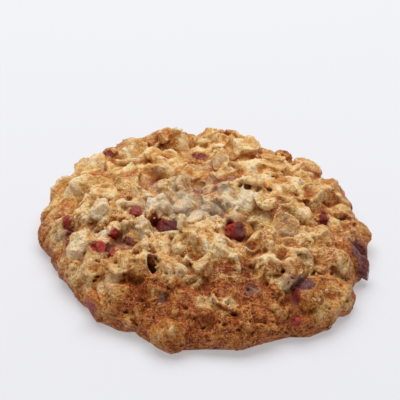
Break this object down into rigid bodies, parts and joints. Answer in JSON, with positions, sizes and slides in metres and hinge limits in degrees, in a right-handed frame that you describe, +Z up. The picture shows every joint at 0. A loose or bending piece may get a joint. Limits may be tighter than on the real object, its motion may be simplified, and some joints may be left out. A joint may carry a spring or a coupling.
{
  "type": "oat cranberry cookie",
  "caption": "Round lumpy oat cookie with dried cranberries baked into its top and rim, flat underneath to rest on a plate or table.",
  "frame": {"origin": "on the flat underside, under the middle of the cookie's outline", "axes": "+Z up through the crown; the side shown in the picture faces -Y, with +X to its right"},
  "size_m": [0.0924, 0.095, 0.0209],
  "materials": {
    "dough": "rough baked crust",
    "cranberry": "satin wrinkled skin"
  },
  "bodies": {
    "root": {"cookie": "dough", "cranberry_01": "cranberry", "cranberry_02": "cranberry", "cranberry_03": "cranberry", "cranberry_04": "cranberry", "cranberry_05": "cranberry", "cranberry_06": "cranberry", "cranberry_07": "cranberry", "cranberry_08": "cranberry", "cranberry_09": "cranberry", "cranberry_10": "cranberry", "cranberry_11": "cranberry", "cranberry_12": "cranberry", "cranberry_13": "cranberry", "cranberry_14": "cranberry", "cranberry_15": "cranberry", "cranberry_16": "cranberry", "cranberry_17": "cranberry", "cranberry_18": "cranberry"}
  },
  "joints": []
}
